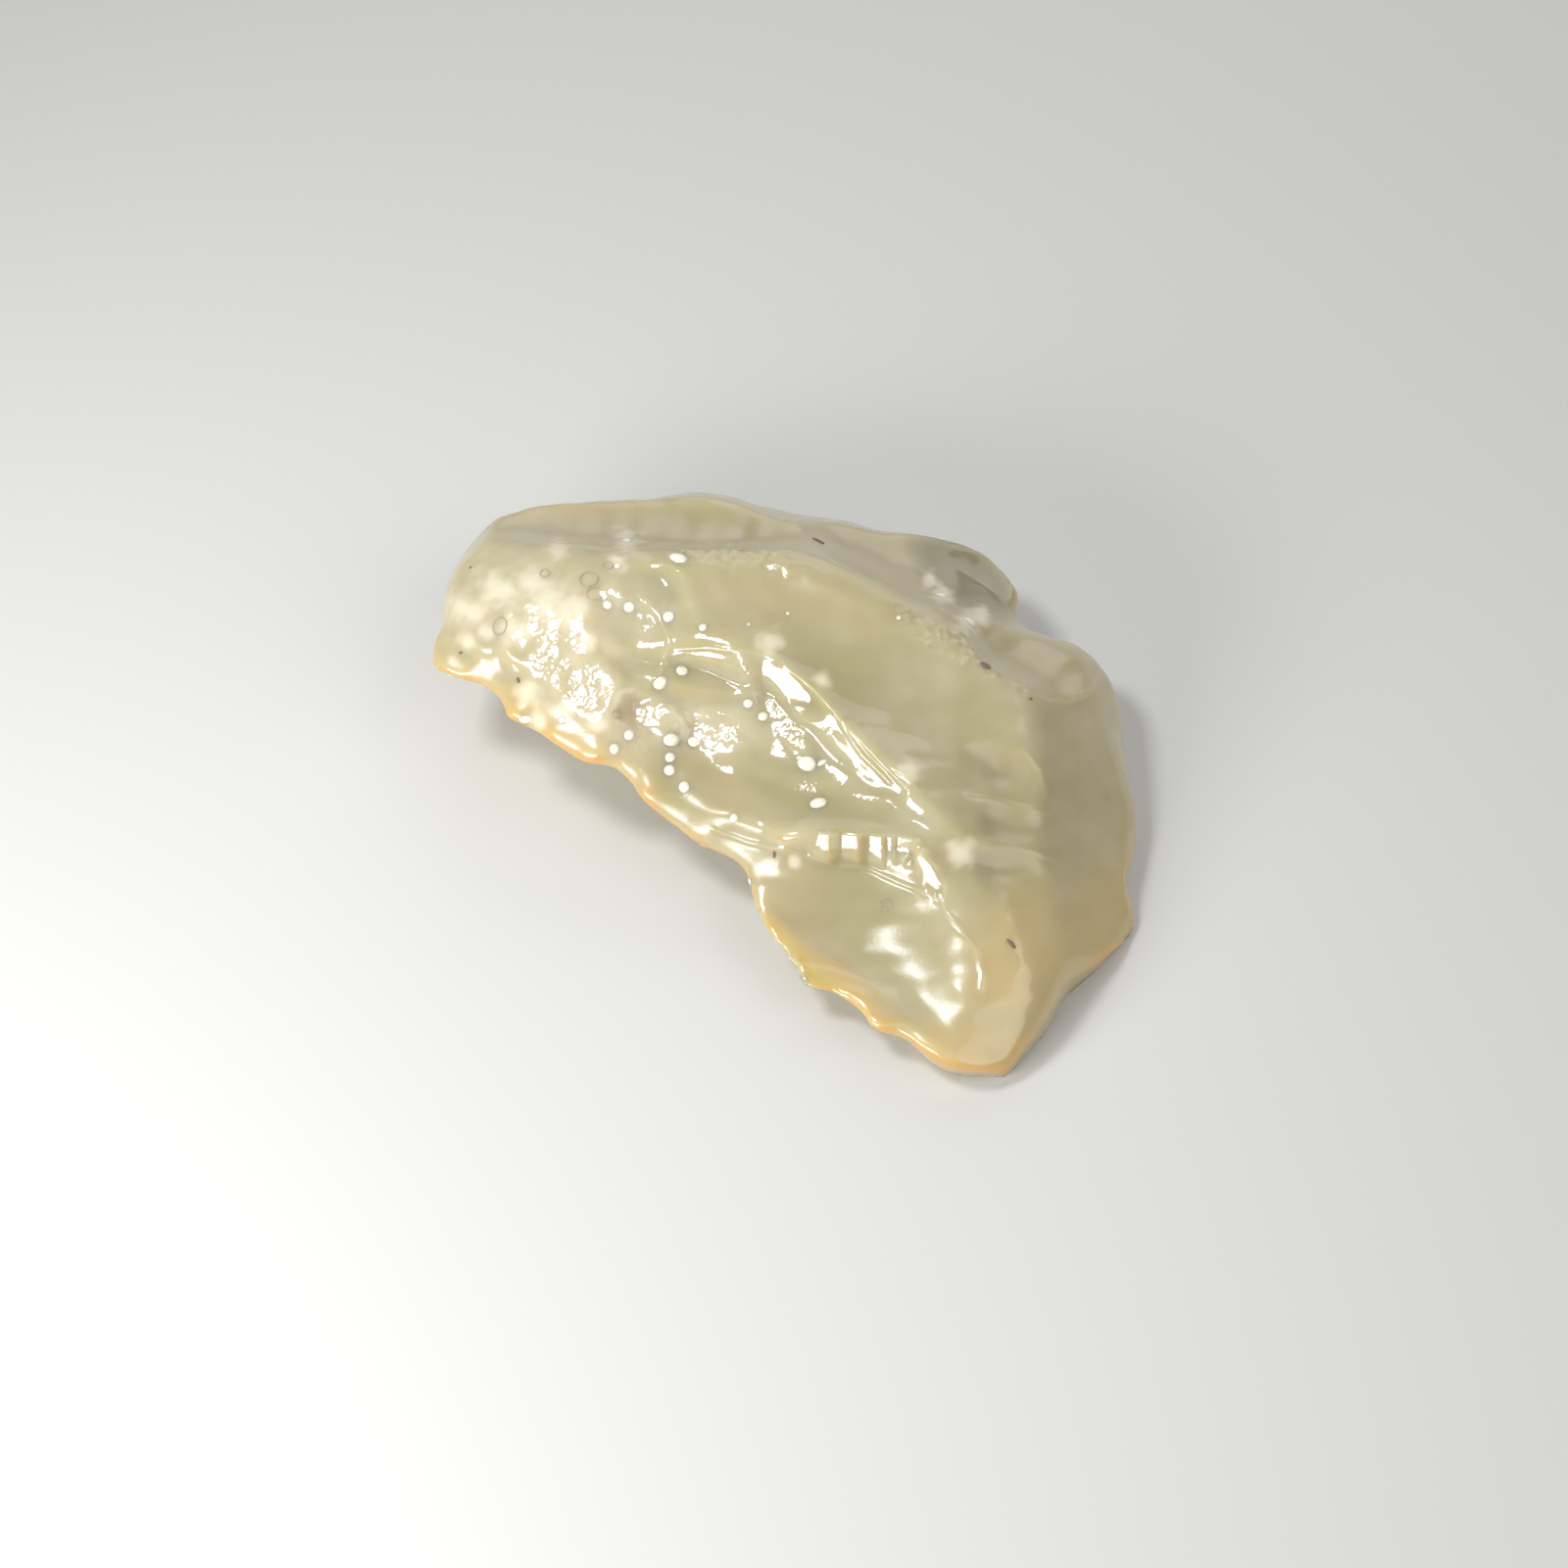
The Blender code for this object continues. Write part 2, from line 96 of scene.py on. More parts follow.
stone = {
    "grid": 0.165,            # spacing of the fine surface's points
    "weld": 0.01,             # points of the solid this close become one
    "smoothing": 9,           # passes that take the solid's facets out
    "creaseSmoothing": 160,   # passes over the creases that are soft in the photograph
    "settling": 4,            # passes after the small faces are turned
    "easing": 40,             # more passes where they meet their neighbours too sharply
    "rimSmoothing": 24,       # passes along the stone's outline in the photograph
    "ledgeCalm": 0.35,        # share of the smoothing that the ledges get, and how far from them it is whole
    "calmAway": (0.3, 1.0),
    "threadReach": 0.35,      # points are closer within this distance of a ridge, and of a ledge's wall
    "wallReach": 1.3,
    "ground": 0.02,           # what lies below this height is the flat base
    "mostTurn": 0.45,         # how far a point may move when its face is turned
    "wallFade": (0.8, 1.7),   # where a turned face fades into the rest, as shares of its width
    "patchFade": (0.8, 1.6),
    "softness": 0.4,          # the same for the smoothed patches
    "rippleHeight": 0.012,
    "rippleSpacing": 1.3,
    "struckAt": (4.0, 10.0, 9.0),   # the ripples run round this place
    "unevenness": 0.05,
    "unevenSize": 1.6,
    "lumpHeight": 0.10,
    "lumpSize": 0.9,
    "streakHeight": 0.008,
    "streakSpacing": 0.25,
    "scaleSize": 0.4,
    "scaleHeight": 0.028,
    "scaleLevel": 0.55,       # distance from a scale's middle, in its size, at which nothing rises
    "chipHeight": 0.13,
    "scoopSize": 4.5,         # worn scoops and pits, on the faces that the photograph doesn't show
    "scoopDepth": 0.28,
    "scoopReach": 0.65,
    "pitSize": 1.1,
    "pitDepth": 0.10,
    "pitEdge": (0.34, 0.12),
    "pitClusters": 3.0,
    "ledges": {   # lines that run along the top of each step, from left to right
        "upper": [(650, 640), (688, 659), (735, 658), (775, 667), (797, 674), (822, 697), (857, 732),
                  (902, 777), (940, 807)],
        "lower": [(796, 858), (820, 850), (842, 847), (880, 848), (915, 850), (940, 855), (955, 875),
                  (960, 908), (965, 930), (980, 952), (996, 980), (1001, 1008)],
        "crest": [(690, 556), (730, 555), (765, 558), (800, 566), (850, 584), (900, 611), (945, 640),
                  (990, 664), (1045, 705)],
    },
    # ledge, its first and last place, and how much of its wall mirrors the key light, in mm
    "walls": [("upper", 3, None, 0.85), ("lower", 1, 7, 0.9)],
    "threads": [   # fine bright ridges: height, width and places
        (0.04, 0.10, [(690, 662), (725, 661), (770, 666), (795, 672), (820, 695), (857, 732)]),
        (0.05, 0.10, [(858, 738), (880, 771), (898, 788), (908, 799)]),
        (0.05, 0.09, [(862, 738), (893, 772), (916, 795), (927, 806)]),
        (0.05, 0.09, [(868, 739), (905, 776), (942, 810)]),
        (0.05, 0.10, [(727, 846), (764, 860), (800, 867), (835, 877), (851, 883), (884, 885), (916, 900),
                      (958, 917)]),
        (0.06, 0.11, [(958, 912), (965, 930), (980, 948), (996, 968), (1003, 994), (1001, 1010)]),
        (0.05, 0.12, [(652, 606), (672, 628), (683, 655), (676, 682), (662, 702)]),
        (0.04, 0.11, [(985, 812), (1010, 816), (1045, 824), (1074, 832)]),
        (0.04, 0.11, [(998, 856), (1030, 862), (1060, 871), (1078, 880)]),
        (0.05, 0.12, [(1048, 707), (1070, 716), (1090, 717), (1110, 706), (1124, 690)]),
        (0.04, 0.12, [(1046, 768), (1062, 786), (1068, 812)]),
        (0.05, 0.14, [(810, 985), (850, 992), (885, 1003), (915, 1014)]),
    ],
    # left end, right end and slope of the teeth that split the lower ledge's shine, and the place
    # where the last one has run out
    "teeth": [(834, 846, 0.42), (858, 876, 0.30), (885, 901, 0.26), (904, 911, 0.26), (914, 942, 0.24)],
    "teethEnd": 952,
    "teethTop": (0.02, 0.15),    # they begin this far below the ledge's line, in mm
    "teethFoot": (1.1, 1.7),
    "teethFade": (4.9, 5.3),     # and fade out between these places of the line
    "glossPatches": {   # middle, half lengths and turn of small faces turned towards each light, or to none
        "key": [((948, 890), (24, 8), 70), ((800, 698), (34, 15), 40)],
        "top": [((548, 644), (32, 25), 46), ((578, 674), (28, 25), 46), ((606, 704), (28, 25), 46),
                ((670, 734), (34, 15), 24), ((722, 752), (34, 15), 20), ((800, 737), (40, 11), 55)],
        "none": [((655, 600), (30, 18), 0), ((706, 692), (44, 15), 8)],
    },
    # the face along the right edge: its patch, the way it mirrors, and how far it is raised first
    "borderFace": {"patch": ((1108, 850), (125, 38), 84), "mirrors": (0.90, 0.365, 0.263), "lift": 0.22},
    "hollows": [   # shallow scooped places: depth, then middle, half lengths and turn
        (0.16, (1012, 778), (38, 22), 20), (0.12, (1035, 842), (42, 18), 10),
        (0.12, (1030, 885), (44, 18), 20), (0.12, (1092, 690), (30, 20), -10),
        (0.10, (728, 800), (34, 26), 60), (0.10, (645, 665), (30, 34), 20),
    ],
    # middle, half lengths and turn of the patches with fine relief
    "scales": [((578, 680), (68, 30), 46), ((700, 740), (64, 22), 16), ((800, 742), (42, 13), 55),
               ((545, 606), (50, 26), 5), ((642, 612), (26, 18), 40), ((650, 752), (30, 26), 60)],
    "chips": [((765, 572), (74, 14), 8), ((960, 652), (62, 14), 32)],
    "lumps": [((510, 630), (90, 70), 10)],
    "streaks": [((752, 680), (28, 14), 20)],
    # the same of the patches that are smoothed: soft creases, faces by the turned ones, the border
    "softCreases": [((1100, 850), (215, 66), 84), ((706, 688), (56, 24), 8), ((652, 598), (40, 28), 0),
                    ((985, 965), (50, 24), 62), ((560, 552), (120, 16), -6), ((700, 556), (110, 16), 2),
                    ((880, 602), (110, 15), 29)],
    "eased": [((900, 918), (62, 20), 22), ((745, 800), (80, 24), 5), ((905, 824), (50, 14), 35),
              ((1094, 800), (110, 24), 84), ((918, 960), (46, 34), 60), ((740, 862), (70, 22), 28),
              ((620, 545), (150, 9), 0), ((830, 580), (90, 8), 18)],
    "softBorder": [((1080, 835), (165, 34), 86)],
}


def smoothStep(low, high, value):
    # 0 up to the low value, 1 from the high one, and an even rise between them
    t = np.clip((value - low) / (high - low), 0, 1)
    return t * t * (3 - 2 * t)


def nearLine(places, line):
    # distance in mm from a line in the photograph, which piece of it is nearest, how far along that
    # piece, and on which side: 1 is below the line where it runs to the right
    best = np.full(len(places), 1e9)
    piece, share, side = np.zeros(len(places), int), np.zeros(len(places)), np.zeros(len(places))
    for index, (start, end) in enumerate(zip(line, line[1:])):
        start, run = np.array(start, float), np.array(end, float) - np.array(start, float)
        along = np.clip(((places - start) @ run) / (run @ run), 0, 1)
        gap = places - (start + along[:, None] * run)
        distance = np.linalg.norm(gap, axis=1)
        closer = distance < best
        best[closer], piece[closer], share[closer] = distance[closer], index, along[closer]
        side[closer] = np.sign(run[0] * gap[closer, 1] - run[1] * gap[closer, 0])
    return best / photo["pixelsPerMm"], piece, share, side


def patchReach(places, patch):
    # 0 at the middle of an oval patch of the photograph, 1 at its rim
    middle, (long, short), turn = patch
    c, s = math.cos(math.radians(turn)), math.sin(math.radians(turn))
    d = places - np.array(middle, float)
    return np.hypot((d[:, 0] * c + d[:, 1] * s) / long, (d[:, 1] * c - d[:, 0] * s) / short)


def inPatches(places, patches, soft=0.35):
    # 1 inside the patches, fading to 0 outside
    most = np.zeros(len(places))
    for patch in patches:
        most = np.maximum(most, 1 - smoothStep(1 - soft, 1 + soft, patchReach(places, patch)))
    return most


def noiseAt(points, size, seed=0.0):
    # smooth noise of -1 to 1 whose lumps are about this many mm wide
    shift = Vector((seed, seed * 1.7, -seed))
    return np.array([noise.noise(Vector(p) / size + shift) for p in points])


def cellsAt(points, size, seed=0.0):
    # distance from the nearest of many scattered middles this many mm apart, in those sizes
    shift = Vector((seed, -seed, seed * 2.3))
    return np.array([noise.voronoi(Vector(p) / size + shift)[0][0] for p in points])


def readPoints(mesh):
    flat = np.empty(len(mesh.vertices) * 3)
    mesh.vertices.foreach_get("co", flat)
    return flat.reshape(-1, 3) / mm


def writePoints(mesh, points):
    mesh.vertices.foreach_set("co", (points * mm).ravel())
    mesh.update()


def readNormals(mesh):
    flat = np.empty(len(mesh.vertices) * 3)
    mesh.vertices.foreach_get("normal", flat)
    return flat.reshape(-1, 3)


def setAttribute(mesh, name, values):
    attribute = mesh.attributes.new(name, "FLOAT", "POINT")
    attribute.data.foreach_set("value", np.asarray(values, float))


def applyModifiers(piece):
    evaluated = piece.evaluated_get(bpy.context.evaluated_depsgraph_get())
    mesh = bpy.data.meshes.new_from_object(evaluated)
    old = piece.data
    piece.modifiers.clear()
    piece.data = mesh
    bpy.data.meshes.remove(old)
    mesh.name = piece.name


def smoothWhere(piece, weights, passes):
    # smooths the piece where the weights say so
    group = piece.vertex_groups.new(name="smoothed")
    for index in np.nonzero(weights > 0.01)[0]:
        group.add([int(index)], float(weights[index]), "REPLACE")
    smooth = piece.modifiers.new("smooth", "SMOOTH")
    smooth.factor = 0.5
    smooth.iterations = passes
    smooth.vertex_group = "smoothed"
    applyModifiers(piece)
    piece.vertex_groups.clear()


def facingEye(piece):
    # 1 where the surface faces the eye, 0 where it faces away
    return smoothStep(0.0, 0.3, readNormals(piece.data) @ np.array(towardsEye))


def nearAny(places, lines, width):
    # true within this many mm of any of the lines
    return np.any([nearLine(places, line)[0] < width for line in lines], axis=0)


def fineCopy(node):
    # the solid's surface with even, close points, its facets smoothed but its ledges kept
    build = bmesh.new()
    build.from_mesh(node.data)
    bmesh.ops.remove_doubles(build, verts=build.verts, dist=stone["weld"] * mm)
    mesh = bpy.data.meshes.new("desertGlass")
    build.to_mesh(mesh)
    build.free()
    piece = bpy.data.objects.new("desertGlass", mesh)
    bpy.context.collection.objects.link(piece)
    grid = piece.modifiers.new("grid", "REMESH")
    grid.mode = "VOXEL"
    grid.voxel_size = stone["grid"] * mm
    applyModifiers(piece)

    points = readPoints(piece.data)
    places = photoPlaces(points)
    seen = facingEye(piece) > 0.5
    ledges = stone["ledges"]
    near = np.minimum(nearLine(places, ledges["upper"])[0], nearLine(places, ledges["lower"])[0])
    least = stone["ledgeCalm"]
    calm = np.where(seen, least + (1 - least) * smoothStep(*stone["calmAway"], near), 1.0)
    calm[points[:, 2] < stone["ground"]] = 0.0
    smoothWhere(piece, calm, stone["smoothing"])
    places = photoPlaces(readPoints(piece.data))
    crease = inPatches(places, stone["softCreases"], stone["softness"]) * (facingEye(piece) > 0.3)
    smoothWhere(piece, crease, stone["creaseSmoothing"])

    # closer points where fine relief goes
    places = photoPlaces(readPoints(piece.data))
    ridges = [line for height, width, line in stone["threads"]] + [ledges["crest"]]
    wanted = nearAny(places, ridges, stone["threadReach"])
    for name in ("upper", "lower"):
        distance, part, share, side = nearLine(places, ledges[name])
        wanted |= (distance < stone["wallReach"]) & (side > 0)
    wanted |= inPatches(places, stone["scales"]) > 0.05
    wanted &= facingEye(piece) > 0.3
    build = bmesh.new()
    build.from_mesh(piece.data)
    build.verts.ensure_lookup_table()
    edges = [edge for edge in build.edges if wanted[edge.verts[0].index] and wanted[edge.verts[1].index]]
    bmesh.ops.subdivide_edges(build, edges=edges, cuts=1, use_grid_fill=True)
    build.to_mesh(piece.data)
    build.free()
    return piece


def halfway(light):
    # the way a face looks when it mirrors this light to the eye
    return (Vector(light).normalized() + towardsEye).normalized()


def turnWall(piece, places, light, width):
    # sets the top of a ledge's wall at the slope that mirrors a light
    tree = BVHTree.FromObject(piece, bpy.context.evaluated_depsgraph_get())
    hits = [(place, tree.ray_cast(eyeAt * mm, photoRay(*place))[0]) for place in places]
    line = [place for place, hit in hits if hit is not None]
    top = np.array([hit for place, hit in hits if hit is not None]) / mm
    points = readPoints(piece.data)
    distance, part, share, side = nearLine(photoPlaces(points), line)
    runs = top[1:] - top[:-1]
    edge = top[part] + runs[part] * share[:, None]
    runs /= np.linalg.norm(runs, axis=1)[:, None]
    wanted = np.array(halfway(light))
    normals = wanted - runs * (runs @ wanted)[:, None]
    normals = (normals / np.linalg.norm(normals, axis=1)[:, None])[part]
    move = np.sum((edge - points) * normals, axis=1).clip(-stone["mostTurn"], stone["mostTurn"])
    ends = smoothStep(0.0, 0.7, part + share) * smoothStep(0.0, 0.7, len(line) - 1 - part - share)
    low, high = stone["wallFade"]
    strength = (side > 0) * (1 - smoothStep(width * low, width * high, distance)) * ends * facingEye(piece)
    writePoints(piece.data, points + normals * (move * strength)[:, None])


def turnPatch(piece, patch, light, lift=0.0):
    # turns an oval part of the surface about its middle until it mirrors a light
    tree = BVHTree.FromObject(piece, bpy.context.evaluated_depsgraph_get())
    wanted = np.array(halfway(light))
    middle = np.array(tree.ray_cast(eyeAt * mm, photoRay(*patch[0]))[0]) / mm + wanted * lift
    points = readPoints(piece.data)
    move = ((middle - points) @ wanted).clip(-stone["mostTurn"], stone["mostTurn"])
    reach = patchReach(photoPlaces(points), patch)
    strength = (1 - smoothStep(*stone["patchFade"], reach)) * facingEye(piece)
    writePoints(piece.data, points + wanted * (move * strength)[:, None])


def carve(piece):
    # breaks the smooth faces as glass breaks: ridges, hollows, teeth, scales, ripples and pits
    points = readPoints(piece.data)
    normals = readNormals(piece.data)
    places = photoPlaces(points)
    facing = facingEye(piece)
    ground = points[:, 2] < stone["ground"]
    rise = np.zeros(len(points))

    for height, width, line in stone["threads"]:
        rise += facing * height * np.exp(-(nearLine(places, line)[0] / width) ** 2)
    for patch in stone["hollows"]:
        reach = patchReach(places, patch[1:])
        rise -= facing * patch[0] * np.clip(1 - reach**2, 0, 1) ** 1.5

    # teeth down the lower ledge's wall
    distance, part, share, side = nearLine(places, stone["ledges"]["lower"])
    wall = facing * (side > 0) * smoothStep(*stone["teethTop"], distance)
    wall *= 1 - smoothStep(*stone["teethFoot"], distance)
    wall *= 1 - smoothStep(*stone["teethFade"], part + share)
    teeth = np.zeros(len(points))
    ends = [left for left, right, slope in stone["teeth"]][1:] + [stone["teethEnd"]]
    for (left, right, slope), following in zip(stone["teeth"], ends):
        height = (right - left) / photo["pixelsPerMm"] * slope
        x = places[:, 0]
        teeth += np.where((x > left) & (x <= right), height * (x - left) / (right - left), 0)
        teeth += np.where((x > right) & (x <= following), height * (following - x) / (following - right), 0)
    rise += wall * teeth

    # fine streaks at the start of the upper ledge's wall
    across = (places[:, 0] + places[:, 1] * 0.4) / photo["pixelsPerMm"]
    streaks = np.sin(across * 2 * math.pi / stone["streakSpacing"])
    rise += stone["streakHeight"] * facing * inPatches(places, stone["streaks"]) * streaks

    # scales where the gloss is broken, and small chips along the crest
    broken = inPatches(places, stone["scales"]) * facing
    chipped = inPatches(places, stone["chips"]) * facing
    busy = np.nonzero(np.maximum(broken, chipped) > 0.01)[0]
    scales = np.zeros(len(points))
    scales[busy] = stone["scaleLevel"] - cellsAt(points[busy], stone["scaleSize"], 3.0)
    rise += (stone["scaleHeight"] * broken + stone["chipHeight"] * chipped) * scales

    # lumps on the left end, slow ripples and unevenness everywhere
    lumps = inPatches(places, stone["lumps"]) * facing
    rise += stone["lumpHeight"] * lumps * noiseAt(points, stone["lumpSize"], 4.0)
    away = np.linalg.norm(points - np.array(stone["struckAt"]), axis=1)
    rise += stone["rippleHeight"] * np.sin(away * 2 * math.pi / stone["rippleSpacing"])
    rise += stone["unevenness"] * noiseAt(points, stone["unevenSize"], 1.0) * (1 - 0.6 * facing)

    # worn scoops and small pits on the hidden faces
    hidden = 1 - smoothStep(-0.25, 0.0, normals @ np.array(towardsEye))
    hidden *= smoothStep(0.0, 1.2, points[:, 2])
    back = np.nonzero(hidden > 0.01)[0]
    scoops, pits = np.zeros(len(points)), np.zeros(len(points))
    reach = cellsAt(points[back], stone["scoopSize"], 9.0) / stone["scoopReach"]
    scoops[back] = np.clip(1 - reach**2, 0, 1)
    pits[back] = smoothStep(*stone["pitEdge"], cellsAt(points[back], stone["pitSize"], 5.0))
    pits *= smoothStep(0.0, 0.3, noiseAt(points, stone["pitClusters"], 2.0))
    rise -= hidden * (stone["scoopDepth"] * scoops + stone["pitDepth"] * pits)
    rise[ground] = 0.0
    points += normals * rise[:, None]
    points[:, 2] = np.maximum(points[:, 2], 0.0)
    writePoints(piece.data, points)
    return broken, chipped


def blur(mesh, values, turns):
    # mixes each point's value with those of its neighbours, so many times
    edges = np.empty(len(mesh.edges) * 2, int)
    mesh.edges.foreach_get("vertices", edges)
    first, second = edges.reshape(-1, 2).T
    size = len(values)
    count = np.bincount(edges, minlength=size)
    for turn in range(turns):
        total = np.bincount(first, values[second], size) + np.bincount(second, values[first], size)
        values = (values + total / count) / 2
    return values


def measureDepth(piece, start=0.05):
    # how thick the glass is below each point, up to what matters for its colour, softened a little
    points, normals = readPoints(piece.data) * mm, readNormals(piece.data)
    tree = BVHTree.FromObject(piece, bpy.context.evaluated_depsgraph_get())
    depth = np.empty(len(points))
    for index, (point, normal) in enumerate(zip(points, normals)):
        inward = -Vector(normal)
        hit = tree.ray_cast(Vector(point) + inward * start * mm, inward, tints["deepest"] * mm)
        depth[index] = hit[3] / mm if hit[0] is not None else tints["deepest"]
    return blur(piece.data, depth, tints["depthBlur"])


def measureEdges(piece):
    # how sharply the surface bends outward at each point, in mm
    points = readPoints(piece.data)
    eased = np.stack([blur(piece.data, points[:, k], tints["edgeBlur"]) for k in range(3)], axis=1)
    return np.sum((points - eased) * readNormals(piece.data), axis=1)


# where the two hard lights stand, and a way that no light comes from: the ledges mirror the key,
# the broken gloss mirrors the top light, and a few other faces mirror neither
lightFrom = {"key": (-0.65, -0.65, 0.39), "top": (-0.48, 0.0, 0.877), "none": (0.10, 0.30, 0.95)}


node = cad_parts["desert_glass"]
glass = fineCopy(node)
triangles = sum(len(face.vertices) - 2 for face in glass.data.polygons)
print("fine copy:", len(glass.data.vertices), "points,", triangles, "triangles")
for name, first, last, width in stone["walls"]:
    turnWall(glass, stone["ledges"][name][first:last], lightFrom["key"], width)
for name, patches in stone["glossPatches"].items():
    for patch in patches:
        turnPatch(glass, patch, lightFrom[name])
border = stone["borderFace"]
turnPatch(glass, border["patch"], border["mirrors"], border["lift"])
smoothWhere(glass, facingEye(glass), stone["settling"])
places = photoPlaces(readPoints(glass.data))
for name, passes in (("eased", stone["easing"]), ("softBorder", stone["creaseSmoothing"])):
    smoothWhere(glass, inPatches(places, stone[name], stone["softness"]) * facingEye(glass), passes)
across = np.abs(readNormals(glass.data) @ np.array(towardsEye))
rim = (1 - smoothStep(0.25, 0.45, across)) * smoothStep(0.2, 0.8, readPoints(glass.data)[:, 2])
smoothWhere(glass, rim, stone["rimSmoothing"])
broken, chipped = carve(glass)
print("stone carved")


# where the glass changes its tint, and where a glow at thin edges and a soft sheen are painted

tints = {
    "deepest": 6.0,              # glass thicker than this, in mm, looks no deeper
    "depthBlur": 6,
    "edgeBlur": 16,
    "sharp": (0.015, 0.08),      # how far an edge stands out where its painted honey glow begins, and is whole
    "steep": (0.45, 0.85),       # it is there on steep faces, by how far they look up
    "thin": (0.8, 2.0),          # and where the glass is thin
    "behind": 0.35,              # the painted glow is weaker out of the photograph's sight
    "hiddenSatin": 0.45,         # dulling, and milk with the size of its clouds, on the hidden faces
    "hiddenMilk": 0.5,
    "hiddenMilkSize": 4.0,
    "ragged": 0.55,              # how uneven the pale spots' outlines are, and the size of that
    "raggedSize": 0.45,
    "spotFade": (0.2, 1.4),
    # middle, half lengths and turn of the tinted patches
    "milk": [((560, 625), (110, 52), 22), ((590, 690), (90, 40), 44), ((470, 622), (34, 30), 0),
             ((700, 742), (70, 26), 12)],
    # these patches are partly milky haze in the glass and partly a painted soft sheen; the one on the flutes
    # paints a highlight
    "hazeAndSheen": [((660, 530), (210, 26), 3), ((880, 580), (110, 26), 22), ((1000, 640), (80, 34), 32),
             ((1090, 690), (50, 24), 0), ((810, 915), (40, 30), 60), ((790, 610), (60, 26), 10),
             ((1020, 765), (38, 15), 15), ((730, 797), (44, 28), 40)],
    "olive": [((646, 668), (28, 36), 20), ((700, 800), (50, 40), 30), ((800, 800), (90, 24), 35),
              ((850, 700), (40, 40), 0), ((880, 935), (80, 40), 35), ((1034, 850), (46, 66), 10)],
    # a warmer tone at the lower tip, and a painted glow along the rims
    "tip": [((1010, 1075), (90, 34), 0), ((830, 1000), (90, 20), 30), ((560, 745), (110, 20), 30),
            ((1120, 960), (50, 90), 30), ((1048, 985), (56, 80), 20)],
    "clear": [((985, 585), (66, 34), 38)],
    "satin": [   # where the gloss is dulled
        ((938, 988), (112, 78), 55), ((712, 832), (124, 38), 36), ((520, 712), (120, 28), 34),
        ((482, 674), (40, 26), 20), ((610, 530), (210, 38), 0), ((880, 585), (160, 44), 25),
        ((1070, 680), (100, 52), 35), ((1040, 830), (70, 110), 5),
    ],
    "spots": [   # pixel and size in pixels of the pale spots that lie below the surface
        (639, 554, 26), (630, 575, 18), (786, 656, 26), (839, 693, 16), (929, 787, 24), (980, 871, 26),
        (779, 887, 16), (810, 880, 14), (537, 707, 26), (948, 592, 18), (961, 606, 22), (988, 633, 26),
        (1000, 628, 22), (570, 560, 22), (600, 655, 22), (505, 600, 30), (558, 612, 40), (520, 640, 24),
        (590, 620, 26), (485, 625, 24), (610, 740, 22), (575, 725, 20), (550, 735, 20), (544, 596, 34),
        (574, 626, 34), (514, 604, 30), (530, 645, 26), (496, 645, 20), (470, 620, 22), (478, 655, 20),
    ],
}

points = readPoints(glass.data)
places = photoPlaces(points)
facing = smoothStep(-0.15, 0.05, readNormals(glass.data) @ np.array(towardsEye))
depth = measureDepth(glass)
hiddenMilk = smoothStep(0.0, 0.6, noiseAt(points, tints["hiddenMilkSize"], 8.0))
spots = np.zeros(len(points))
wobble = 1 + tints["ragged"] * noiseAt(points, tints["raggedSize"], 6.0)
for x, y, size in tints["spots"]:
    reach = np.hypot(places[:, 0] - x, places[:, 1] - y) / (size / 2) * wobble
    spots = np.maximum(spots, facing * (1 - smoothStep(*tints["spotFade"], reach)))
steep = 1 - smoothStep(*tints["steep"], np.abs(readNormals(glass.data)[:, 2]))
thin = 1 - smoothStep(*tints["thin"], depth)
sharp = smoothStep(*tints["sharp"], measureEdges(glass))
# the painted edge glow is weaker on faces turned from the eye
inSight = smoothStep(-0.5, -0.05, readNormals(glass.data) @ np.array(towardsEye))
shown = tints["behind"] + (1 - tints["behind"]) * inSight
within = {name: inPatches(places, tints[name], soft) for name, soft in (
    ("milk", 0.6), ("hazeAndSheen", 0.7), ("olive", 0.6), ("tip", 0.6), ("clear", 0.4), ("satin", 0.6))}
for name, values in (
        # edge: a painted honey glow along sharp edges of steep faces and of thin glass
        ("edge", shown * np.maximum(steep, thin) * sharp),
        ("depth", np.clip(depth / tints["deepest"], 0, 1)),
        ("milk", np.maximum(facing * within["milk"], tints["hiddenMilk"] * (1 - facing) * hiddenMilk)),
        ("hazeAndSheen", facing * within["hazeAndSheen"]),
        ("olive", facing * within["olive"]),
        ("tip", within["tip"]),
        ("clear", facing * within["clear"] * (1 - spots)),
        ("spots", spots),
        ("broken", np.clip(broken + chipped, 0, 1)),
        ("satin", np.maximum(tints["hiddenSatin"] * (1 - facing), facing * within["satin"]))):
    setAttribute(glass.data, name, values)
glass.data.shade_smooth()
print("tints set")


# white grains, dark flecks and the rims of open bubbles

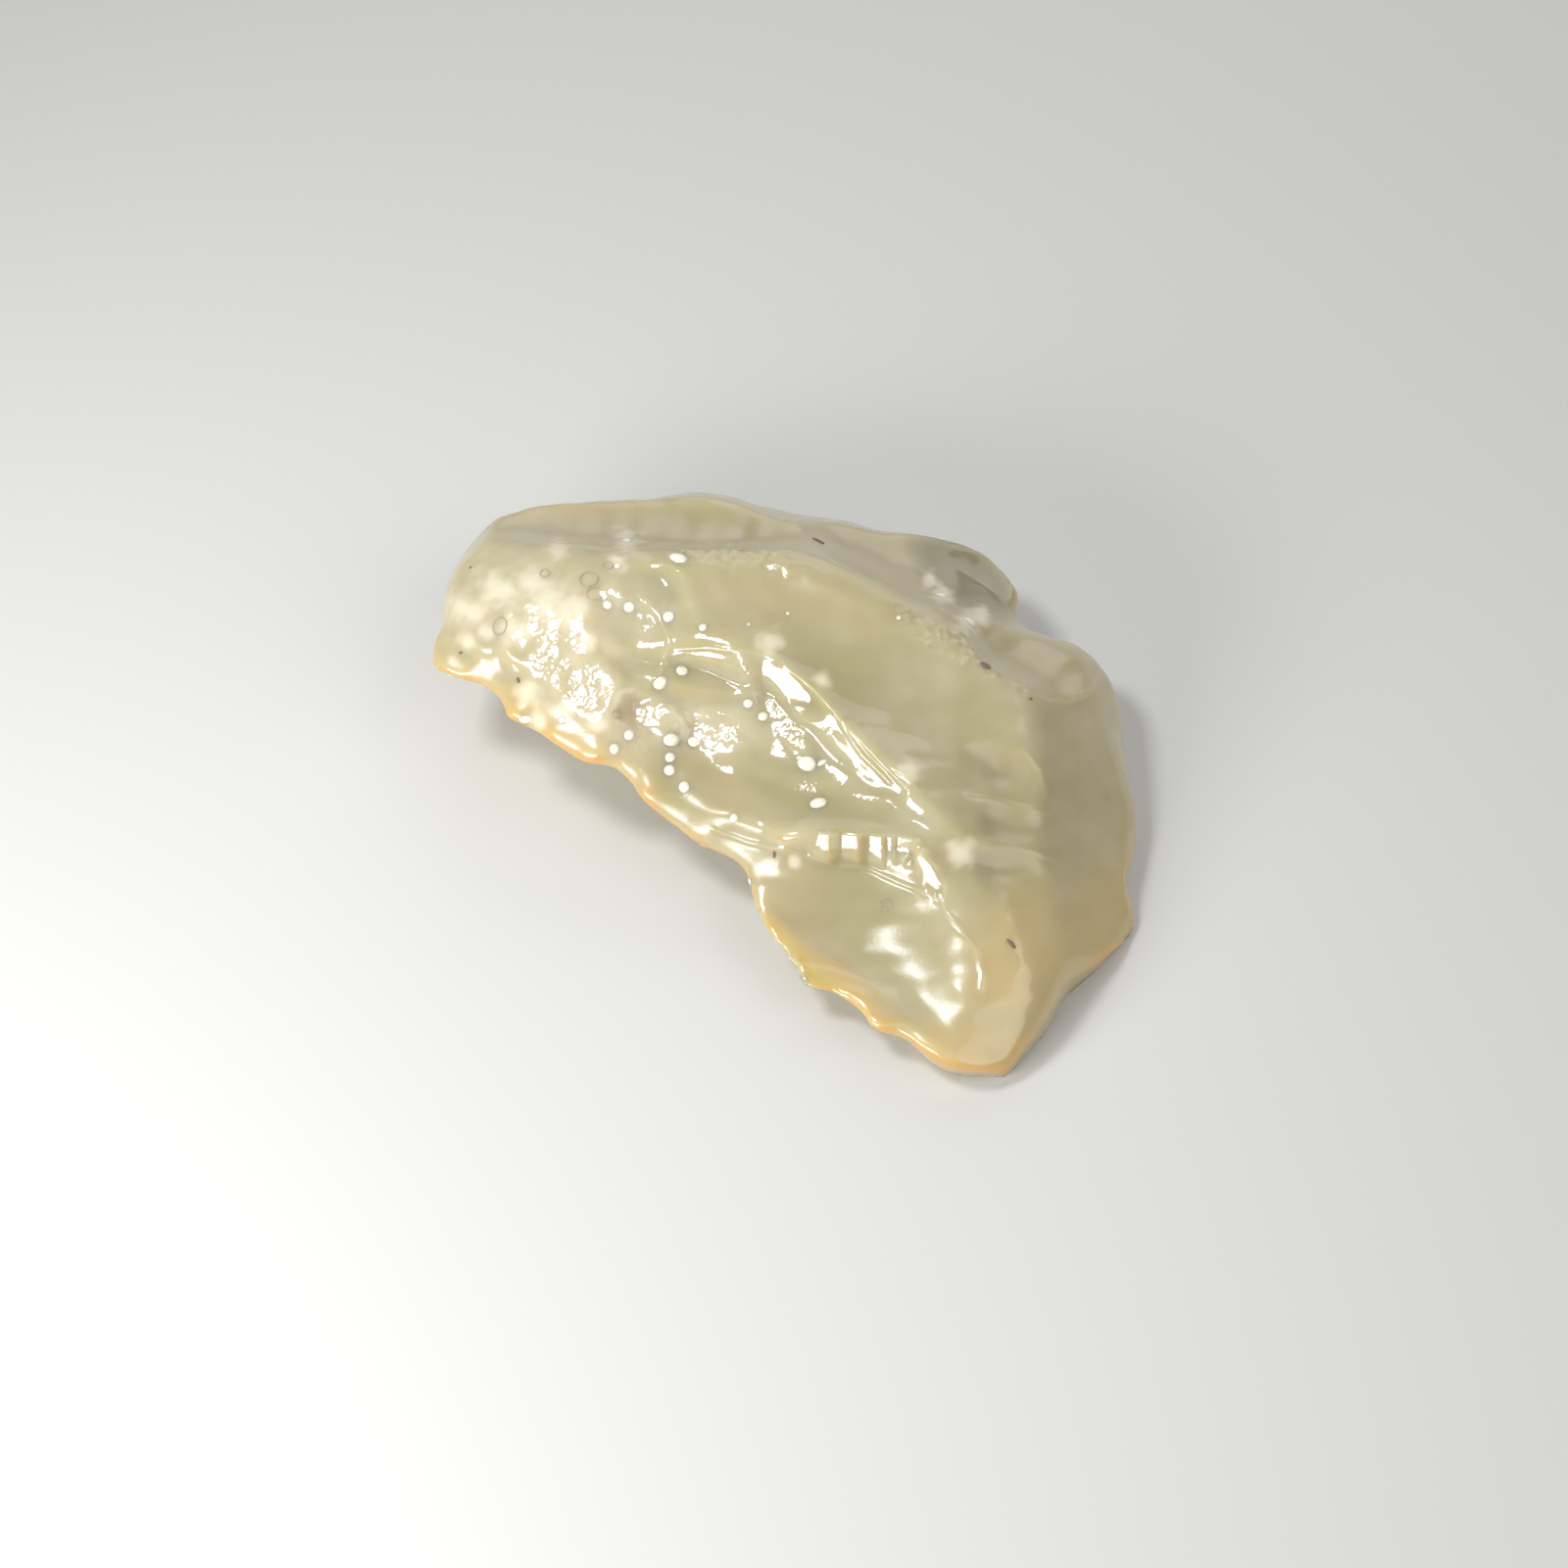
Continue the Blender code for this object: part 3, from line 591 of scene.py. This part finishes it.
grains = {
    "crisp": [   # pixel, length in pixels, share of that length across, and turn
        (692, 569, 22, 0.62, 40), (642, 620, 12, 1, 0), (620, 617, 11, 1, 0), (682, 629, 13, 1, 0),
        (696, 684, 13, 1, 0), (674, 697, 15, 0.85, -20), (717, 640, 9, 1, 0), (685, 755, 16, 0.8, 0),
        (707, 757, 14, 0.9, 0), (684, 773, 11, 1, 0), (683, 786, 12, 1, 0), (698, 803, 13, 0.9, 80),
        (642, 750, 11, 1, 0), (627, 764, 11, 1, 0), (749, 835, 9, 1, 0), (835, 819, 18, 0.75, -10),
        (822, 780, 20, 0.9, 20), (839, 778, 12, 0.5, -30), (779, 731, 11, 0.9, 0), (763, 718, 11, 0.9, 0),
        (574, 734, 9, 1, 0), (537, 734, 16, 0.5, 0), (764, 637, 4, 1, 0), (917, 630, 5, 1, 0),
        (804, 626, 4, 1, 0), (990, 634, 14, 0.7, 10), (961, 607, 13, 0.7, 15),
        (639, 551, 11, 1, 0), (630, 577, 8, 1, 0),
    ],
    "whole": 1.13,             # a grain's length, as a share of what shows of it
    "sunk": 0.12,              # how far its middle lies below the surface, in its own lengths
    "flat": 0.5,
    "elsewhere": 60,           # small grains spread over the faces that the photograph doesn't show
    "small": (0.2, 0.55),      # their lengths
    "lowest": 0.5,             # they keep this far above the floor
}

flecks = {
    "places": [   # pixel, length and width in pixels, and turn
        (1032, 963, 13, 4, 50), (835, 552, 15, 6, 5), (790, 872, 8, 4, 100), (1005, 679, 14, 7, 35),
        (480, 579, 4, 3, 0), (470, 666, 5, 3, 0), (529, 694, 7, 4, 60), (1052, 713, 4, 3, 0),
    ],
    "flat": 0.25,              # height as a share of the length
}

bubbles = {
    "places": [   # pixel, width in pixels, and height in the photograph as a share of that
        (510, 639, 16, 1.25), (601, 591, 19, 1.0), (607, 606, 17, 0.8), (556, 585, 10, 1.0),
        (904, 922, 12, 1.0), (620, 577, 12, 0.8), (629, 729, 9, 1.0),
    ],
    "lip": 0.03,               # how thick the rim is, from its middle
    "sides": 6,
    "steps": 24,
}


def newPiece(name, build):
    mesh = bpy.data.meshes.new(name)
    build.to_mesh(mesh)
    build.free()
    mesh.shade_smooth()
    piece = bpy.data.objects.new(name, mesh)
    bpy.context.collection.objects.link(piece)
    return piece


def standOn(tree, x, y, turn):
    # where a pixel's ray meets the stone, with Z outward and X turned in the photograph's plane
    hit = tree.ray_cast(eyeAt * mm, photoRay(x, y))
    if hit[0] is None:
        return None
    across = Vector((math.cos(math.radians(turn)), 0, 0)) - upInPhoto * math.sin(math.radians(turn))
    outward = hit[1]
    across = (across - outward * across.dot(outward)).normalized()
    turned = Matrix((across, outward.cross(across), outward)).transposed().to_4x4()
    return Matrix.Translation(hit[0]) @ turned


def makeGrains(tree):
    build = bmesh.new()
    for x, y, size, across, turn in grains["crisp"]:
        place = standOn(tree, x, y, turn)
        if place is None:
            continue
        length = size / photo["pixelsPerMm"] * mm * grains["whole"]
        sink = Matrix.Translation((0, 0, -length * grains["sunk"]))
        flat = Matrix.Diagonal((1.0, across, grains["flat"], 1.0))
        bmesh.ops.create_icosphere(build, subdivisions=2, radius=length / 2, matrix=place @ sink @ flat)
    chance = random.Random(7)
    hidden = [face for face in glass.data.polygons
              if face.normal.dot(towardsEye) < -0.05 and face.center.z > grains["lowest"] * mm]
    for face in chance.choices(hidden, weights=[face.area for face in hidden], k=grains["elsewhere"]):
        length = chance.uniform(*grains["small"]) * mm
        place = Matrix.Translation(face.center - face.normal * length * grains["sunk"])
        turned = face.normal.to_track_quat("Z", "Y").to_matrix().to_4x4()
        flat = Matrix.Diagonal((1.0, chance.uniform(0.7, 1.0), grains["flat"], 1.0))
        bmesh.ops.create_icosphere(build, subdivisions=2, radius=length / 2, matrix=place @ turned @ flat)
    return newPiece("whiteGrains", build)


def makeFlecks(tree):
    build = bmesh.new()
    for x, y, long, wide, turn in flecks["places"]:
        place = standOn(tree, x, y, turn)
        if place is None:
            continue
        half = long / photo["pixelsPerMm"] * mm / 2
        shape = Matrix.Diagonal((1.0, wide / long, flecks["flat"], 1.0))
        bmesh.ops.create_icosphere(build, subdivisions=2, radius=half, matrix=place @ shape)
    return newPiece("darkFlecks", build)


def makeBubbles(tree):
    # a thin ring lies round each open bubble
    build = bmesh.new()
    for x, y, wide, oval in bubbles["places"]:
        place = standOn(tree, x, y, 0)
        if place is None:
            continue
        radius = wide / photo["pixelsPerMm"] * mm / 2
        upright = Matrix.Translation((radius, 0, 0)) @ Matrix.Rotation(math.pi / 2, 4, "X")
        made = bmesh.ops.create_circle(build, segments=bubbles["sides"], radius=bubbles["lip"] * mm,
                                       matrix=upright)
        loop = list({edge for vert in made["verts"] for edge in vert.link_edges})
        bmesh.ops.spin(build, geom=made["verts"] + loop, axis=(0, 0, 1), cent=(0, 0, 0),
                       angle=2 * math.pi, steps=bubbles["steps"], use_merge=True)
        ring = set(made["verts"])
        grown = True
        while grown:
            more = {edge.other_vert(vert) for vert in ring for edge in vert.link_edges} - ring
            ring |= more
            grown = bool(more)
        bmesh.ops.transform(build, verts=list(ring), matrix=place @ Matrix.Diagonal((1.0, oval, 1.0, 1.0)))
    bmesh.ops.recalc_face_normals(build, faces=build.faces)
    return newPiece("bubbleRims", build)


surface = BVHTree.FromObject(glass, bpy.context.evaluated_depsgraph_get())
whiteGrains = makeGrains(surface)
darkFlecks = makeFlecks(surface)
bubbleRims = makeBubbles(surface)
print("grains, flecks and bubbles set")


# materials

def linear(hexColour):
    # an sRGB hex value as the linear colour that Blender works in
    values = [int(hexColour[k:k + 2], 16) / 255 for k in (1, 3, 5)]
    return tuple(v / 12.92 if v <= 0.04045 else ((v + 0.055) / 1.055) ** 2.4 for v in values) + (1.0,)


def addNode(tree, kind, settings=None, inputs=None):
    # adds a node, sets it, and links or fills its inputs
    made = tree.nodes.new(kind)
    for name, value in (settings or {}).items():
        setattr(made, name, value)
    for name, value in (inputs or {}).items():
        if isinstance(value, bpy.types.NodeSocket):
            tree.links.new(value, made.inputs[name])
        else:
            made.inputs[name].default_value = value
    return made


def newMaterial(name):
    material = bpy.data.materials.new(name)
    material.use_nodes = True
    tree = material.node_tree
    tree.nodes.clear()
    return material, tree


glassLook = {
    "ior": 1.46,
    "glow": 1.8,         # how far light wanders below the surface
    "scale": 0.24,       # the small scales where the gloss is broken
    "scaleHigh": 0.021,
    "gritHigh": 0.004,
    "noises": {          # size, detail and roughness
        "cloud": (3.0, 3.0, 0.5),
        "veil": (1.1, 5.0, 0.7),
        "blotch": (0.9, 1.5, 0.5),
        "grit": (0.16, 1.0, 0.5),   # real grit is finer, and is drawn this coarse so that it shows
    },
    "strengths": {       # each follows a field between two of its values, from one strength to another
        "thick": ("cloud", 0.35, 0.65, 0.0, 1.0),
        "veiled": ("veil", 0.42, 0.62, 0.0, 0.22),
        "green": ("olive", 0.0, 1.0, 0.0, 0.75),
        # partly milky haze, partly painted sheen
        "hazeAndSheenTint": ("hazeAndSheen", 0.0, 1.0, 0.0, 0.7),
        # a warmer tone, partly a painted glow along the rims
        "warmthAndGlow": ("tip", 0.0, 1.0, 0.0, 0.7),
        "mottled": ("blotch", 0.36, 0.66, 0.55, 1.0),
        "spotted": ("spots", 0.0, 1.0, 0.0, 0.8),
        # rim, thin rim and honey paint the glow of light through thin glass and sharp edges
        "rim": ("depth", 0.04, 0.14, 0.75, 0.0),
        "paintedThinGlow": ("depth", 0.01, 0.06, 0.8, 0.0),
        "paintedEdgeGlow": ("edge", 0.0, 1.0, 0.0, 0.65),
        "thinClear": ("depth", 0.04, 0.25, 0.22, 0.1),
        "chipClear": ("clear", 0.0, 1.0, 0.0, 0.5),
        "polish": ("satin", 0.0, 1.0, 0.04, 0.265),   # roughness of the fresh and the dulled faces
    },
    "body": "#c5b98f",
    "layers": [          # what tints the body, one over the other; the last three paint a honey glow of light through thin glass and sharp edges
        ("thick", "#d0c6a3"), ("veiled", "#c8b98f"), ("green", "#b9ae80"), ("hazeAndSheenTint", "#c8b98f"),
        ("warmthAndGlow", "#dcc38c"), ("milky", "#e3d6b4"), ("spotted", "#fbf2d8"), ("rim", "#eec98c"),
        ("paintedThinGlow", "#e2a44e"), ("paintedEdgeGlow", "#e2a44e"),
    ],
}


def makeGlass():
    # Natural silica glass, broken: a wet gloss over milky straw-coloured depth, with a painted honey glow at
    # thin edges
    look = glassLook
    material, tree = newMaterial("silicaGlass")
    place = addNode(tree, "ShaderNodeTexCoord").outputs["Object"]
    fields = {}
    for name in ("depth", "milk", "broken", "olive", "hazeAndSheen", "tip", "spots", "edge", "clear", "satin"):
        fields[name] = addNode(tree, "ShaderNodeAttribute", {"attribute_name": name}).outputs["Fac"]
    for name, (size, detail, roughness) in look["noises"].items():
        fields[name] = addNode(tree, "ShaderNodeTexNoise", None, {
            "Vector": place, "Scale": 1 / (size * mm), "Detail": detail,
            "Roughness": roughness}).outputs["Fac"]
    fields["scales"] = addNode(tree, "ShaderNodeTexVoronoi", {"feature": "SMOOTH_F1"}, {
        "Vector": place, "Scale": 1 / (look["scale"] * mm), "Smoothness": 0.3}).outputs["Distance"]
    for name, (field, low, high, start, end) in look["strengths"].items():
        fields[name] = addNode(tree, "ShaderNodeMapRange", None, {
            "Value": fields[field], "From Min": low, "From Max": high,
            "To Min": start, "To Max": end}).outputs[0]
    for name, operation, first, second in (("milky", "MULTIPLY", "milk", "mottled"),
                                           ("scaled", "MULTIPLY", "scales", "broken"),
                                           ("seeThrough", "MAXIMUM", "thinClear", "chipClear")):
        fields[name] = addNode(tree, "ShaderNodeMath", {"operation": operation}, {
            0: fields[first], 1: fields[second]}).outputs[0]
    body = linear(look["body"])
    for name, colour in look["layers"]:
        body = addNode(tree, "ShaderNodeMix", {"data_type": "RGBA"}, {
            0: fields[name], 6: body, 7: linear(colour)}).outputs[2]
    # small scales where the gloss is broken, and a fine grit everywhere
    fine = addNode(tree, "ShaderNodeBump", {"invert": True}, {
        "Height": fields["scaled"], "Distance": look["scaleHigh"] * mm, "Strength": 1.0}).outputs["Normal"]
    fine = addNode(tree, "ShaderNodeBump", None, {
        "Height": fields["grit"], "Distance": look["gritHigh"] * mm, "Strength": 1.0,
        "Normal": fine}).outputs["Normal"]
    surface = addNode(tree, "ShaderNodeBsdfPrincipled", None, {
        "Base Color": body, "Roughness": fields["polish"], "IOR": look["ior"],
        "Specular IOR Level": 0.8, "Transmission Weight": fields["seeThrough"],
        "Subsurface Weight": 1.0, "Subsurface Radius": (1.0, 0.8, 0.5),
        "Subsurface Scale": look["glow"] * mm, "Coat Weight": 0.35, "Coat Roughness": 0.3,
        "Coat IOR": look["ior"], "Normal": fine, "Coat Normal": fine})
    addNode(tree, "ShaderNodeOutputMaterial", None, {"Surface": surface.outputs[0]})
    return material


speckled = {
    # Cristobalite: chalk-white mineral grown in the glass, under the same glassy skin
    "cristobalite": {
        "speck": 0.15, "tints": ("#fff8e6", "#f6ebcd"),
        "finish": {"Roughness": 0.35, "IOR": 1.48, "Subsurface Weight": 0.6,
                   "Subsurface Radius": (1.0, 0.9, 0.7), "Subsurface Scale": 0.2 * mm,
                   "Coat Weight": 1.0, "Coat Roughness": 0.04},
    },
    # Iron-stained mineral specks: dull brown-grey
    "ironStain": {"speck": 0.1, "tints": ("#5b4f3f", "#8d8167"), "finish": {"Roughness": 0.5}},
    # The worn lip of an open bubble: a grey ring, still glossy
    "bubbleLip": {"speck": 0.2, "tints": ("#cfc6ad", "#948a72"), "finish": {"Roughness": 0.15, "IOR": 1.46}},
}


def makeSpeckled(name):
    # two tints mixed by specks of a real size
    look = speckled[name]
    material, tree = newMaterial(name)
    place = addNode(tree, "ShaderNodeTexCoord").outputs["Object"]
    specks = addNode(tree, "ShaderNodeTexNoise", None, {"Vector": place, "Scale": 1 / (look["speck"] * mm)})
    first, second = (linear(tint) for tint in look["tints"])
    tint = addNode(tree, "ShaderNodeMix", {"data_type": "RGBA"}, {
        0: specks.outputs["Fac"], 6: first, 7: second})
    surface = addNode(tree, "ShaderNodeBsdfPrincipled", None, {
        "Base Color": tint.outputs[2], **look["finish"]})
    addNode(tree, "ShaderNodeOutputMaterial", None, {"Surface": surface.outputs[0]})
    return material


for piece, material in ((glass, makeGlass()), (whiteGrains, makeSpeckled("cristobalite")),
                        (darkFlecks, makeSpeckled("ironStain")), (bubbleRims, makeSpeckled("bubbleLip"))):
    piece.data.materials.clear()
    piece.data.materials.append(material)
    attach(piece, "root")
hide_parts("desert_glass")
print("materials made")


# floor and light

studio = {
    "floor": "#dcdad5",
    "floorSize": 1200.0,
    "key": {"from": lightFrom["key"], "away": 100.0, "size": (62.0, 22.0), "power": 0.073},
    "top": {"from": lightFrom["top"], "away": 110.0, "size": (26.0, 26.0), "power": 0.052},
    "fill": {"from": (0.62, -0.40, 0.67), "away": 190.0, "size": (160.0, 160.0), "power": 0.122},
    "back": {"from": (0.20, 0.85, 0.50), "away": 170.0, "size": (150.0, 150.0), "power": 0.078},
    "sky": 0.22,
    "lampTint": (0.95, 0.972, 1.0),
}

build = bmesh.new()
bmesh.ops.create_grid(build, x_segments=1, y_segments=1, size=studio["floorSize"] / 2 * mm)
floor = newPiece("floor", build)
paper, tree = newMaterial("matteCard")
card = addNode(tree, "ShaderNodeBsdfPrincipled", None, {
    "Base Color": linear(studio["floor"]), "Roughness": 0.8})
addNode(tree, "ShaderNodeOutputMaterial", None, {"Surface": card.outputs[0]})
floor.data.materials.append(paper)

for name in ("key", "top", "fill", "back"):
    made = bpy.data.lights.new(name, "AREA")
    made.energy = studio[name]["power"]
    made.color = studio["lampTint"]
    made.shape = "RECTANGLE"
    made.size, made.size_y = (side * mm for side in studio[name]["size"])
    lamp = bpy.data.objects.new(name, made)
    bpy.context.collection.objects.link(lamp)
    direction = Vector(studio[name]["from"]).normalized()
    lamp.location = (aimAt + direction * studio[name]["away"]) * mm
    level = Vector((-direction.y, direction.x, 0)).normalized()
    lamp.rotation_euler = Matrix((level, direction.cross(level), direction)).transposed().to_euler()

sky = bpy.data.worlds.new("sky")
sky.use_nodes = True
sky.node_tree.nodes["Background"].inputs["Color"].default_value = linear("#f4f6fa")
sky.node_tree.nodes["Background"].inputs["Strength"].default_value = studio["sky"]
bpy.context.scene.world = sky
bpy.context.scene.view_settings.view_transform = "Standard"
print("studio lit")
